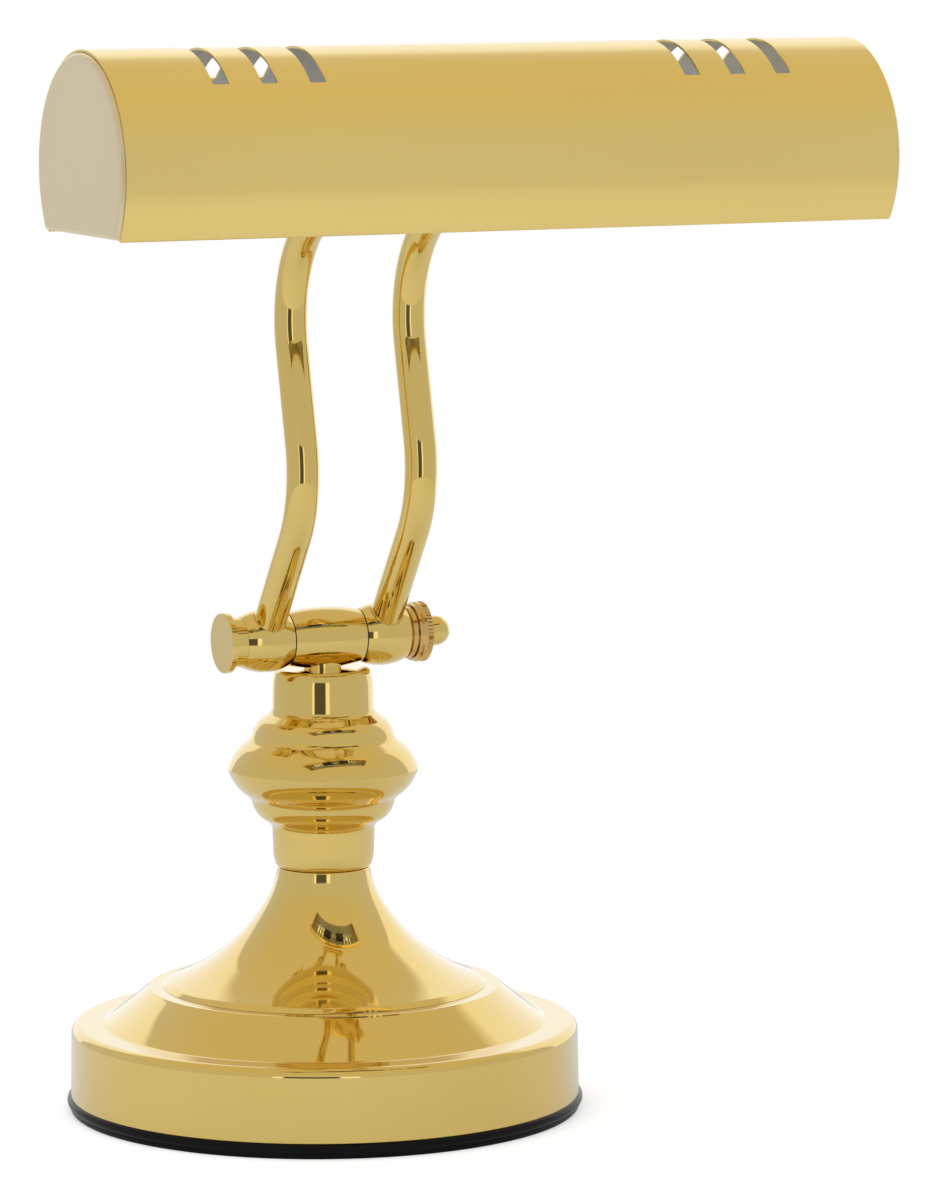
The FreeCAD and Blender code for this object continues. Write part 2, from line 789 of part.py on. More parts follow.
def shade_shell():
    """The arched sheet with a hem along both open edges and cooling slots over each lamp."""
    left_end = X_AXIS * -shade_length / 2
    inner_radius = shade_radius - shade_wall
    sheet = arch_block(shade_radius, shade_drop, sheet_half_length)
    hem = arch_block(inner_radius, shade_drop, shade_length / 2 - lid_depth - loose_gap)
    hem = hem.cut(rod(left_end, X_AXIS, shade_length, inner_radius - hem_fold))
    above_hem = Part.makeBox(shade_length, 2 * shade_radius, 2 * shade_radius)
    above_hem.translate(Vector(-shade_length / 2, -shade_radius, hem_height - shade_drop))
    sheet = sheet.cut(rod(left_end, X_AXIS, shade_length, inner_radius))
    sheet = sheet.fuse(hem.cut(above_hem)).removeSplitter()
    first_slot = shade_length / 2 - slot_from_end - slot_width
    for n in range(slot_count):
        x = first_slot - slot_pitch * n
        for start in (x, -x - slot_width):
            slot = Part.makeBox(slot_width, 2 * slot_half_span, shade_radius)
            slot.translate(Vector(start, -slot_half_span, 0))
            sheet = sheet.cut(slot)
    hole = rod(ORIGIN, Y_AXIS, shade_radius, pipe_radius + fit_gap)
    sheet = sheet.cut(hole).Solids[0]
    sheet.translate(shade_centre)
    return sheet


def end_lid():
    """The pressed lid in the shade's +X end: a flat D with a rounded rim and a skirt inside the sheet."""
    radius = shade_radius - lid_inset
    drop = shade_drop - lid_inset
    outer_x = shade_length / 2
    block = arch_face(radius, drop, outer_x - lid_depth).extrude(X_AXIS * lid_depth)
    rim = [e for e in block.Edges if e.BoundBox.XMin > outer_x - on_plane]
    block = block.makeFillet(lid_reach, rim)
    hollow = arch_face(radius - shade_wall, drop - shade_wall, outer_x - lid_depth)
    lid = block.cut(hollow.extrude(X_AXIS * (lid_depth - shade_wall))).Solids[0]
    lid.translate(shade_centre)
    return lid


def upper_barrel():
    """The upper swivel's middle, whose boss is hollowed to sit on the back of the shade."""
    boss_sink = shade_radius - math.sqrt(shade_radius ** 2 - upper_boss_radius ** 2)
    body = barrel(-Y_AXIS, shade_standoff + boss_sink, upper_boss_radius)
    arch = rod(X_AXIS * -barrel_half_length - Y_AXIS * (shade_radius + shade_standoff), X_AXIS,
               2 * barrel_half_length, shade_radius + face_gap)
    return body.cut(arch).Solids[0]


def bracket_seat():
    """How far behind the arch's centre the bracket's flat back can sit."""
    inner_radius = shade_radius - shade_wall
    return math.sqrt(inner_radius ** 2 - (bracket_height / 2) ** 2) - face_gap


def shade_nipple():
    """The threaded tube that holds barrel, shade and bracket together."""
    start = upper_axis - Y_AXIS * (shade_standoff - pipe_grip)
    front = shade_centre.y + bracket_seat() - bracket_thickness - nut_height - face_gap - nipple_end
    return rod(start, -Y_AXIS, start.y - front, pipe_radius, nipple_bore)


def nipple_nut():
    seat = shade_centre + Y_AXIS * (bracket_seat() - bracket_thickness - face_gap)
    return hexagon(seat, -Y_AXIS, nut_height, nut_flats, pipe_radius + fit_gap)


def lamp_bracket():
    """A bent strip: a back against the shade's wall and two ears that carry the lampholders."""
    back_y = bracket_seat()
    half_height = bracket_height / 2
    back = Part.makeBox(2 * bracket_half_length, bracket_thickness, bracket_height)
    back.translate(Vector(-bracket_half_length, back_y - bracket_thickness, -half_height))
    body = back
    for x in (-bracket_half_length, bracket_half_length - bracket_thickness):
        ear = Part.makeBox(bracket_thickness, back_y, bracket_height)
        ear.translate(Vector(x, 0, -half_height))
        body = body.fuse([ear, rod(X_AXIS * x, X_AXIS, bracket_thickness, ear_radius)])
    bore = pipe_radius + fit_gap
    body = body.cut(rod(X_AXIS * -bracket_half_length, X_AXIS, 2 * bracket_half_length, bore))
    body = body.cut(rod(ORIGIN, Y_AXIS, shade_radius, bore)).removeSplitter().Solids[0]
    body.translate(shade_centre)
    return body


holder_start = bracket_half_length + face_gap
block_end = holder_start - holder_boss_length - loose_gap
cap_start = holder_start + holder_floor + face_gap
cap_end = cap_start + bulb_cap_length
bulb_end = cap_start + bulb_length


def lampholder():
    """The +X lampholder, with its socket outward and a threaded boss through the bracket's ear."""
    body = rod(X_AXIS * holder_start, X_AXIS, holder_length, holder_radius)
    rim = nearest_edge(body, X_AXIS * (holder_start + holder_length))
    back = nearest_edge(body, X_AXIS * holder_start)
    body = body.makeFillet(holder_round, [rim, back])
    boss_start = X_AXIS * (holder_start - holder_boss_length)
    body = body.fuse(rod(boss_start, X_AXIS, holder_boss_length + face_gap, pipe_radius))
    socket_length = holder_length - holder_floor
    body = body.cut(rod(X_AXIS * (holder_start + holder_floor), X_AXIS, socket_length, holder_socket_radius))
    body = body.cut(rod(boss_start, X_AXIS, holder_boss_length + holder_lead_depth, nipple_bore))
    body = body.removeSplitter().Solids[0]
    body.translate(shade_centre)
    return body


def lampholder_nuts():
    seat = bracket_half_length - bracket_thickness - face_gap
    right = hexagon(X_AXIS * seat, -X_AXIS, holder_nut_height, nut_flats, pipe_radius + fit_gap)
    nuts = Part.makeCompound([mirrored(right), right])
    nuts.translate(shade_centre)
    return nuts


def bulb_cap():
    """The bulb's metal cap, a cup that holds the foot of the glass."""
    cap = rod(X_AXIS * cap_start, X_AXIS, bulb_cap_length, bulb_cap_radius)
    cap = cap.makeChamfer(bulb_cap_bevel, [nearest_edge(cap, X_AXIS * cap_start)])
    cup = rod(X_AXIS * (cap_end - bulb_neck_in_cap), X_AXIS, bulb_neck_in_cap, bulb_neck_radius + fit_gap)
    cap = cap.cut(cup).Solids[0]
    cap.translate(shade_centre)
    return cap


def bulb_glass():
    """A tubular bulb, hollow, with a rounded end and a narrower neck in the cap."""
    glass = bulb_outside(0).cut(bulb_outside(bulb_wall)).Solids[0]
    glass.translate(shade_centre)
    return glass


def bulb_outside(inset):
    """The solid form of a bulb's glass, or of the space in it where inset is the glass's thickness."""
    start = cap_end - bulb_neck_in_cap + face_gap + inset
    shoulder = cap_end + bulb_shoulder + inset
    neck = bulb_neck_radius - inset
    body = bulb_radius - inset
    outline = Outline(start, 0)
    outline.line(start, neck)
    outline.line(cap_end, neck)
    outline.curve((cap_end + shoulder) / 2, (neck + body) / 2)
    outline.curve(shoulder, body)
    outline.line(bulb_end - bulb_radius, body)
    outline.curve(bulb_end - inset, 0)
    return turned_about_x(outline.face())


def bulb_stem():
    """Inside the bulb: a glass stem, two support wires and the coiled filament between them."""
    stem_start = cap_end - bulb_neck_in_cap + bulb_wall + 2 * face_gap
    stem = rod(X_AXIS * stem_start, X_AXIS, stem_length, stem_radius)
    tip = stem_start + stem_length
    pieces = [stem]
    for side in (-1, 1):
        foot = Vector(tip - stem_radius, 0, side * wire_foot_spread)
        head = Vector(bulb_end - bulb_radius, 0, side * filament_spread)
        pieces.append(rod(foot, head - foot, (head - foot).Length, wire_radius))
    lower_end = Vector(bulb_end - bulb_radius, 0, -filament_spread - wire_radius)
    pieces.append(rod(lower_end, Z_AXIS, 2 * (filament_spread + wire_radius), filament_radius))
    body = pieces[0].fuse(pieces[1:]).removeSplitter()
    body.translate(shade_centre)
    return body


def terminal_block():
    """The block between the bracket's ears where the supply lead meets the two lampholder leads."""
    block = Part.makeBox(2 * block_end, block_width, block_width)
    block.translate(Vector(-block_end, -block_width / 2, -block_width / 2))
    along_x = [e for e in block.Edges if abs(e.tangentAt(e.FirstParameter).x) > 0.9]
    block = block.makeChamfer(block_bevel, along_x)
    block.translate(shade_centre)
    return block


def shade_leads():
    """Supply lead from the upper swivel to the block, and a short lead from it into each lampholder."""
    block_back = shade_centre + Y_AXIS * (block_width / 2)
    supply_start = upper_axis - Y_AXIS * (barrel_bore - fit_gap)
    supply = rod(block_back, Y_AXIS, supply_start.y - block_back.y, lead_radius)
    reach = holder_start + holder_lead_depth - face_gap - block_end
    right = rod(X_AXIS * block_end, X_AXIS, reach, lead_radius)
    left = mirrored(right)
    for lead in (left, right):
        lead.translate(shade_centre)
    return Part.makeCompound([left, right, supply])


def moved(shape, place):
    shape.translate(place)
    return shape


def swivel_parts(name, axis, arm_direction):
    """The pieces of one swivel apart from its barrel."""
    right = knuckle(arm_direction)
    return {
        name + "_knuckle_left": moved(mirrored(right), axis),
        name + "_knuckle_right": moved(right, axis),
        name + "_friction_washers": moved(friction_washers(), axis),
        name + "_pivot_bolt": moved(pivot_bolt(), axis),
        name + "_thumb_nut": moved(thumb_nut(), axis),
        name + "_acorn_nut": moved(acorn_nut(), axis),
    }


def mirrored_pair(name, shape):
    return {name + "_left": mirrored(shape), name + "_right": shape}


def all_parts():
    parts = {
        "base_pan": base_pan(),
        "base_bell": base_bell(),
        "base_ring": base_ring(),
        "base_weight": base_weight(),
        "bottom_plate": bottom_plate(),
        "plate_screws": plate_screws(),
        "lamp_pipe": lamp_pipe(),
        "pipe_washer": pipe_washer(),
        "pipe_nut": pipe_nut(),
        "cord_inlet": cord_inlet(),
        "cord_inlet_nut": cord_inlet_nut(),
        "switch_housing": switch_housing(),
        "switch_nut": switch_nut(),
        "switch_button": switch_button(),
        "base_lead": base_lead(),
        "column_lower_shell": column_lower_shell(),
        "column_upper_shell": column_upper_shell(),
        "lower_barrel": moved(barrel(-Z_AXIS, swivel_height, lower_boss_radius), lower_axis),
        "arm_lead": arm_lead(),
        "upper_barrel": moved(upper_barrel(), upper_axis),
        "shade_shell": shade_shell(),
        "shade_nipple": shade_nipple(),
        "nipple_nut": nipple_nut(),
        "lamp_bracket": lamp_bracket(),
        "lampholder_nuts": lampholder_nuts(),
        "terminal_block": terminal_block(),
        "shade_leads": shade_leads(),
    }
    parts.update(swivel_parts("lower", lower_axis, leaning(arm_foot_lean)))
    parts.update(swivel_parts("upper", upper_axis, -leaning(arm_head_lean)))
    parts.update(mirrored_pair("arm", arm_tube()))
    parts.update(mirrored_pair("end_lid", end_lid()))
    parts.update(mirrored_pair("lampholder", lampholder()))
    parts.update(mirrored_pair("bulb_cap", bulb_cap()))
    parts.update(mirrored_pair("bulb_glass", bulb_glass()))
    parts.update(mirrored_pair("bulb_stem", bulb_stem()))
    return parts


os.makedirs("parts", exist_ok=True)
for node, shape in all_parts().items():
    shape.exportStep("parts/" + node + ".step")
    state = "valid" if shape.isValid() else "BAD"
    print(node, len(shape.Solids), "solids", round(shape.Volume), "mm3", state)
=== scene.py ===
import math

import bpy
from mathutils import Matrix, Vector


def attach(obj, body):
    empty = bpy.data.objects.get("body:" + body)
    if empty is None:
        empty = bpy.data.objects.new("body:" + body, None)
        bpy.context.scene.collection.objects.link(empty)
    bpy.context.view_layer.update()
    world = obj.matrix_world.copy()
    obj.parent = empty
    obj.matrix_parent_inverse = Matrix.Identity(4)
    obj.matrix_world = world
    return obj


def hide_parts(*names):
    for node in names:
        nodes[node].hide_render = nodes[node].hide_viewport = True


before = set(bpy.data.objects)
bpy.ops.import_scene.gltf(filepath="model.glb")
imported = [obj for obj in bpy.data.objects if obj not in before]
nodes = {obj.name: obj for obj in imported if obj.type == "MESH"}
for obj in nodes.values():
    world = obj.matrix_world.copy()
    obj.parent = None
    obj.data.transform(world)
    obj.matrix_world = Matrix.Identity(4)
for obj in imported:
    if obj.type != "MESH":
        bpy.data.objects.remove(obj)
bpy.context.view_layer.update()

# A piano lamp of polished brass. Lengths of the lamp are in millimetres, as in the part's source,
# and become metres when a piece is made. The camera, the studio and the lights are in metres.
METRES = 0.001
X_AXIS = Vector((1, 0, 0))
SAME_PLACE = 1e-6        # two places nearer than this are one


# Outlines

class Outline:
    """A line drawn from point to point by straight runs and arcs, the way the part's source draws it."""

    arc_step = math.radians(4)
    straight_enough = 1e-5
    least_corner = math.radians(12)

    def __init__(self, across, up):
        self.points = [Vector((across, up))]
        self.heading = Vector((0, 1))

    @property
    def here(self):
        return self.points[-1]

    def line(self, across, up):
        end = Vector((across, up))
        self.heading = (end - self.here).normalized()
        self.points.append(end)
        return self

    def curve(self, across, up):
        """An arc that carries on smoothly from what came before."""
        start = self.here.copy()
        chord = Vector((across, up)) - start
        ahead = self.heading
        left = Vector((-ahead.y, ahead.x))
        half_turn = math.atan2(left.dot(chord), ahead.dot(chord))
        if abs(half_turn) < self.straight_enough:
            return self.line(across, up)
        radius = chord.length / (2 * math.sin(half_turn))
        steps = max(3, math.ceil(abs(2 * half_turn) / self.arc_step))
        for n in range(1, steps + 1):
            turn = 2 * half_turn * n / steps
            self.points.append(start + ahead * radius * math.sin(turn) + left * radius * (1 - math.cos(turn)))
        turn = 2 * half_turn
        self.heading = ahead * math.cos(turn) + left * math.sin(turn)
        return self

    def bow(self, across, up, rise):
        """An arc that stands off its chord by rise, to the right of the way it runs."""
        chord = Vector((across, up)) - self.here
        half_turn = 2 * math.atan(2 * rise / chord.length)
        ahead = chord.normalized()
        right = Vector((ahead.y, -ahead.x))
        self.heading = ahead * math.cos(half_turn) + right * math.sin(half_turn)
        return self.curve(across, up)

    def line_by(self, across, up):
        return self.line(self.here.x + across, self.here.y + up)

    def bow_by(self, across, up, rise):
        return self.bow(self.here.x + across, self.here.y + up, rise)

    def curve_by(self, across, up):
        return self.curve(self.here.x + across, self.here.y + up)

    def softened(self, reach, steps=4):
        """The points with every corner rounded off, from reach before it to reach after it."""
        points = self.points
        nearly_half = 0.45
        soft = [points[0]]
        for before, corner, after in zip(points, points[1:], points[2:]):
            back = before - corner
            ahead = after - corner
            if math.pi - back.angle(ahead) < self.least_corner:
                soft.append(corner)
                continue
            start = corner + back.normalized() * min(reach, back.length * nearly_half)
            end = corner + ahead.normalized() * min(reach, ahead.length * nearly_half)
            for n in range(steps + 1):
                t = n / steps
                soft.append(start * (1 - t) ** 2 + corner * 2 * t * (1 - t) + end * t * t)
        soft.append(points[-1])
        return soft


# Meshes

def rings_about_z(points, steps):
    """One ring of places for each point of an outline of (radius, height)."""
    turns = [2 * math.pi * n / steps for n in range(steps)]
    return [[Vector((p.x * math.cos(a), p.x * math.sin(a), p.y)) for a in turns] for p in points]


def skin(rings, closed=True):
    """Vertices and faces over rows of places. A row whose places all meet becomes one vertex."""
    vertices = []
    rows = []
    for ring in rings:
        if (ring[0] - ring[len(ring) // 3]).length < SAME_PLACE:
            rows.append([len(vertices)] * len(ring))
            vertices.append(ring[0])
        else:
            rows.append(list(range(len(vertices), len(vertices) + len(ring))))
            vertices.extend(ring)
    faces = []
    count = len(rings[0])
    for low, high in zip(rows, rows[1:]):
        for n in range(count if closed else count - 1):
            m = (n + 1) % count
            corners = [low[n], low[m], high[m], high[n]]
            face = [c for k, c in enumerate(corners) if c != corners[k - 1]]
            if len(face) > 2:
                faces.append(face)
    return vertices, faces


def moved(surface, place):
    """The surface, carried to a place."""
    vertices, faces = surface
    return [v + place for v in vertices], faces


def mirrored(surface):
    """The surface on the other side of the lamp's middle, with its faces still outward."""
    vertices, faces = surface
    return [Vector((-v.x, v.y, v.z)) for v in vertices], [face[::-1] for face in faces]


def make_piece(name, surface, finishes, body, *stands_for, wall=0.0, bevel=0.0, sharp=40):
    """A mesh that rides on a body in place of CAD nodes. With a wall it is a sheet, thickened inwards."""
    vertices, faces = surface
    mesh = bpy.data.meshes.new(name)
    mesh.from_pydata([v * METRES for v in vertices], [], faces)
    for finish in finishes:
        mesh.materials.append(finish)
    mesh.shade_smooth()
    piece = bpy.data.objects.new(name, mesh)
    bpy.context.scene.collection.objects.link(piece)
    if wall:
        sheet = piece.modifiers.new("wall", "SOLIDIFY")
        sheet.thickness = wall * METRES
        sheet.offset = -1
        sheet.use_even_offset = True
        sheet.material_offset = len(finishes) - 1
    if bevel:
        edges = piece.modifiers.new("edges", "BEVEL")
        edges.width = bevel * METRES
        edges.segments = 3
        edges.limit_method = "ANGLE"
        edges.angle_limit = math.radians(sharp)
    if wall or bevel:
        made = piece.evaluated_get(bpy.context.evaluated_depsgraph_get())
        piece.data = bpy.data.meshes.new_from_object(made)
        piece.modifiers.clear()
    piece.data.set_sharp_from_angle(angle=math.radians(sharp))
    even = piece.modifiers.new("even shading", "WEIGHTED_NORMAL")
    even.keep_sharp = True
    made = piece.evaluated_get(bpy.context.evaluated_depsgraph_get())
    piece.data = bpy.data.meshes.new_from_object(made)
    piece.modifiers.clear()
    piece.data.name = name
    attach(piece, body)
    if stands_for:
        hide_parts(*stands_for)
    return piece


# Shader nodes

class Tree:
    """Short ways to add shader nodes and join them."""

    def __init__(self, tree):
        self.tree = tree
        tree.nodes.clear()

    def add(self, kind, inputs=(), **settings):
        node = self.tree.nodes.new(kind)
        for key, value in settings.items():
            setattr(node, key, value)
        for key, value in dict(inputs).items():
            if isinstance(value, bpy.types.NodeSocket):
                self.tree.links.new(value, node.inputs[key])
            else:
                node.inputs[key].default_value = value
        return node

    def math(self, operation, first, second=0.0, third=0.0):
        node = self.add("ShaderNodeMath", {0: first, 1: second, 2: third}, operation=operation)
        return node.outputs[0]

    def mix(self, share, first, second):
        node = self.add("ShaderNodeMix", data_type="RGBA")
        for socket, value in ((node.inputs[0], share), (node.inputs[6], first), (node.inputs[7], second)):
            if isinstance(value, bpy.types.NodeSocket):
                self.tree.links.new(value, socket)
            else:
                socket.default_value = value
        return node.outputs[2]

    def spread(self, value, low, high):
        """The value's stretch from low to high, laid out smoothly from 0 to 1."""
        inputs = {"Value": value, "From Min": low, "From Max": high}
        return self.add("ShaderNodeMapRange", inputs, interpolation_type="SMOOTHSTEP").outputs["Result"]

    def group(self, effect, **inputs):
        node = self.add("ShaderNodeGroup", node_tree=effect)
        for key, value in inputs.items():
            socket = node.inputs[key.replace("_", " ")]
            if isinstance(value, bpy.types.NodeSocket):
                self.tree.links.new(value, socket)
            else:
                socket.default_value = value
        return node.outputs


def new_effect(name, inputs, outputs):
    """An empty node group with named sockets, its tree, and its input and output nodes."""
    effect = bpy.data.node_groups.new(name, "ShaderNodeTree")
    tree = Tree(effect)
    for socket, kind, value in inputs:
        made = effect.interface.new_socket(name=socket, in_out="INPUT", socket_type="NodeSocket" + kind)
        made.default_value = value
    for socket, kind in outputs:
        effect.interface.new_socket(name=socket, in_out="OUTPUT", socket_type="NodeSocket" + kind)
    return effect, tree, tree.add("NodeGroupInput").outputs, tree.add("NodeGroupOutput").inputs


def handling_marks():
    """Faint smears from fingers and cloths, and hair-fine scratches in all directions."""
    effect, tree, given, made = new_effect(
        "handling marks",
        [("Smear Size", "Float", 40.0), ("Scratch Size", "Float", 260.0)],
        [("Smear", "Float"), ("Scratch", "Float")],
    )
    place = tree.add("ShaderNodeTexCoord").outputs["Object"]
    bent = tree.add("ShaderNodeTexNoise", {
        "Vector": place,
        "Scale": given["Smear Size"],
        "Detail": 5.0,
        "Roughness": 0.62,
        "Distortion": 1.4,
    })
    smear = tree.spread(bent.outputs["Fac"], 0.47, 0.78)
    first = scratch_lines(tree, place, given["Scratch Size"], (0.3, 0.5, 0.9))
    second = scratch_lines(tree, place, given["Scratch Size"], (1.2, -0.4, 2.1))
    tree.tree.links.new(smear, made["Smear"])
    tree.tree.links.new(tree.math("MAXIMUM", first, second), made["Scratch"])
    return effect


def scratch_lines(tree, place, size, turn):
    """Thin broken lines along one direction."""
    drawn_out = (1.0, 0.05, 1.0)
    line_width = 0.012
    turned = tree.add("ShaderNodeMapping", {"Vector": place, "Rotation": turn, "Scale": drawn_out})
    cells = tree.add("ShaderNodeTexVoronoi", {"Vector": turned.outputs[0], "Scale": size, "Randomness": 1.0},
                     feature="DISTANCE_TO_EDGE")
    return tree.spread(cells.outputs["Distance"], line_width, 0.0)


def brushed_grain():
    """Fine parallel streaks, drawn out along X."""
    effect, tree, given, made = new_effect(
        "brushed grain",
        [("Fineness", "Float", 900.0), ("Draw", "Float", 0.02)],
        [("Streak", "Float")],
    )
    place = tree.add("ShaderNodeTexCoord").outputs["Object"]
    pulled = tree.add("ShaderNodeCombineXYZ", {"X": given["Draw"], "Y": 1.0, "Z": 1.0})
    along = tree.add("ShaderNodeVectorMath", {0: place, 1: pulled.outputs[0]}, operation="MULTIPLY")
    grain = tree.add("ShaderNodeTexNoise", {
        "Vector": along.outputs[0],
        "Scale": given["Fineness"],
        "Detail": 3.0,
        "Roughness": 0.6,
    })
    tree.tree.links.new(grain.outputs["Fac"], made["Streak"])
    return effect


def soft_mottle():
    """Slow, uneven variation of a finish over the surface."""
    effect, tree, given, made = new_effect(
        "soft mottle",
        [("Size", "Float", 14.0), ("Sharpness", "Float", 0.5)],
        [("Mottle", "Float")],
    )
    place = tree.add("ShaderNodeTexCoord").outputs["Object"]
    cloud = tree.add("ShaderNodeTexNoise", {
        "Vector": place,
        "Scale": given["Size"],
        "Detail": 4.0,
        "Roughness": given["Sharpness"],
    })
    tree.tree.links.new(tree.spread(cloud.outputs["Fac"], 0.3, 0.7), made["Mottle"])
    return effect


def settled_dust():
    """Dust on what faces up, thicker in patches."""
    effect, tree, given, made = new_effect(
        "settled dust",
        [("Amount", "Float", 0.2)],
        [("Dust", "Float")],
    )
    place = tree.add("ShaderNodeTexCoord").outputs["Object"]
    facing = tree.add("ShaderNodeNewGeometry").outputs["Normal"]
    up = tree.add("ShaderNodeSeparateXYZ", {0: facing}).outputs["Z"]
    patches = tree.add("ShaderNodeTexNoise", {
        "Vector": place,
        "Scale": 55.0,
        "Detail": 6.0,
        "Roughness": 0.7,
    })
    specks = tree.add("ShaderNodeTexNoise", {"Vector": place, "Scale": 1400.0, "Detail": 2.0})
    thick = tree.math("MULTIPLY", tree.spread(patches.outputs["Fac"], 0.35, 0.75),
                      tree.spread(specks.outputs["Fac"], 0.5, 0.72))
    cover = tree.math("MULTIPLY", tree.spread(up, 0.2, 0.95), thick)
    tree.tree.links.new(tree.math("MULTIPLY", cover, given["Amount"]), made["Dust"])
    return effect


def worn_edges():
    """A mask of edges that stand out, broken up by noise."""
    effect, tree, given, made = new_effect(
        "worn edges",
        [("Width", "Float", 0.0006), ("Wear", "Float", 0.6)],
        [("Edge", "Float")],
    )
    rounded = tree.add("ShaderNodeBevel", {"Radius": given["Width"]}, samples=4)
    plain = tree.add("ShaderNodeNewGeometry").outputs["Normal"]
    same = tree.add("ShaderNodeVectorMath", {0: rounded.outputs[0], 1: plain}, operation="DOT_PRODUCT")
    edge = tree.spread(same.outputs["Value"], 0.995, 0.9)
    place = tree.add("ShaderNodeTexCoord").outputs["Object"]
    broken = tree.add("ShaderNodeTexNoise", {"Vector": place, "Scale": 420.0, "Detail": 4.0})
    patchy = tree.math("MULTIPLY", edge, tree.spread(broken.outputs["Fac"], 0.35, 0.6))
    tree.tree.links.new(tree.math("MULTIPLY", patchy, given["Wear"]), made["Edge"])
    return effect


MARKS = handling_marks()
GRAIN = brushed_grain()
MOTTLE = soft_mottle()
DUST = settled_dust()
WORN = worn_edges()


# Finishes

LACQUER_IOR = 1.5
HAIR_FINE = 0.0001       # metres
GRAIN_DEPTH = 0.0002
DUST_COLOUR = (0.55, 0.52, 0.47, 1)


def new_finish(name):
    """An empty material of this name. A CAD material that has the name already gives it up."""
    material = bpy.data.materials.new("finish")
    material.use_nodes = True
    old = bpy.data.materials.get(name)
    if old:
        old.name = name + "_cad"
    material.name = name
    return material, Tree(material.node_tree)


def finished(tree, shader):
    tree.add("ShaderNodeOutputMaterial", {"Surface": shader.outputs[0]})


def polished_metal(name, bright, deep, roughness=0.045, coat=1.0, smear=0.015):
    """Mirror-polished metal under clear lacquer: slow colour drift, smears and fine scratches."""
    material, tree = new_finish(name)
    mottle = tree.group(MOTTLE, Size=16.0)["Mottle"]
    marks = tree.group(MARKS)
    scratch_roughness = 0.02
    rough = tree.math("MULTIPLY_ADD", marks["Smear"], smear, roughness)
    rough = tree.math("MULTIPLY_ADD", marks["Scratch"], scratch_roughness, rough)
    bump = tree.add("ShaderNodeBump", {
        "Height": marks["Scratch"],
        "Strength": 0.004,
        "Distance": HAIR_FINE,
    })
    finished(tree, tree.add("ShaderNodeBsdfPrincipled", {
        "Base Color": tree.mix(mottle, bright, deep),
        "Metallic": 1.0,
        "Roughness": rough,
        "Coat Weight": coat,
        "Coat Roughness": 0.03,
        "Coat IOR": LACQUER_IOR,
        "Normal": bump.outputs[0],
    }))
    return material


def satin_metal(name, bright, deep, roughness, grain=0.06, coat=0.6, coat_roughness=0.12):
    """Fine-brushed metal, its streaks drawn along X, under a thin lacquer."""
    material, tree = new_finish(name)
    mottle = tree.group(MOTTLE, Size=9.0)["Mottle"]
    streak = tree.group(GRAIN)["Streak"]
    marks = tree.group(MARKS, Smear_Size=18.0)
    smear_roughness = 0.04
    rough = tree.math("MULTIPLY_ADD", streak, grain, roughness)
    rough = tree.math("MULTIPLY_ADD", marks["Smear"], smear_roughness, rough)
    bump = tree.add("ShaderNodeBump", {
        "Height": streak,
        "Strength": 0.05,
        "Distance": HAIR_FINE,
    })
    finished(tree, tree.add("ShaderNodeBsdfPrincipled", {
        "Base Color": tree.mix(mottle, bright, deep),
        "Metallic": 1.0,
        "Roughness": rough,
        "Coat Weight": coat,
        "Coat Roughness": coat_roughness,
        "Coat IOR": LACQUER_IOR,
        "Normal": bump.outputs[0],
    }))
    return material


def plain_stuff(name, colour, worn, roughness, grain_size, grain_height, dust=0.1, metallic=0.0, shine=0.5):
    """Rubber, plastic, paint, iron or fibre: mottled, grainy, a little dusty and paler where it rubs."""
    material, tree = new_finish(name)
    mottle = tree.group(MOTTLE, Size=30.0)["Mottle"]
    edge = tree.group(WORN)["Edge"]
    fallen = tree.group(DUST, Amount=dust)["Dust"]
    place = tree.add("ShaderNodeTexCoord").outputs["Object"]
    grain = tree.add("ShaderNodeTexNoise", {"Vector": place, "Scale": grain_size, "Detail": 4.0})
    mottle_share = 0.35
    grain_roughness = 0.12
    body = tree.mix(tree.math("MULTIPLY", mottle, mottle_share), colour, worn)
    body = tree.mix(edge, body, worn)
    body = tree.mix(fallen, body, DUST_COLOUR)
    bump = tree.add("ShaderNodeBump", {
        "Height": grain.outputs["Fac"],
        "Strength": grain_height,
        "Distance": GRAIN_DEPTH,
    })
    finished(tree, tree.add("ShaderNodeBsdfPrincipled", {
        "Base Color": body,
        "Metallic": metallic,
        "Roughness": tree.math("MULTIPLY_ADD", grain.outputs["Fac"], grain_roughness, roughness),
        "Specular IOR Level": shine,
        "Normal": bump.outputs[0],
    }))
    return material


def clear_glass(name):
    """Thin clear glass that has been handled."""
    material, tree = new_finish(name)
    marks = tree.group(MARKS, Smear_Size=70.0)
    smear_roughness = 0.05
    finished(tree, tree.add("ShaderNodeBsdfPrincipled", {
        "Base Color": (0.97, 0.985, 0.98, 1),
        "Roughness": tree.math("MULTIPLY", marks["Smear"], smear_roughness),
        "IOR": 1.47,
        "Transmission Weight": 1.0,
    }))
    return material


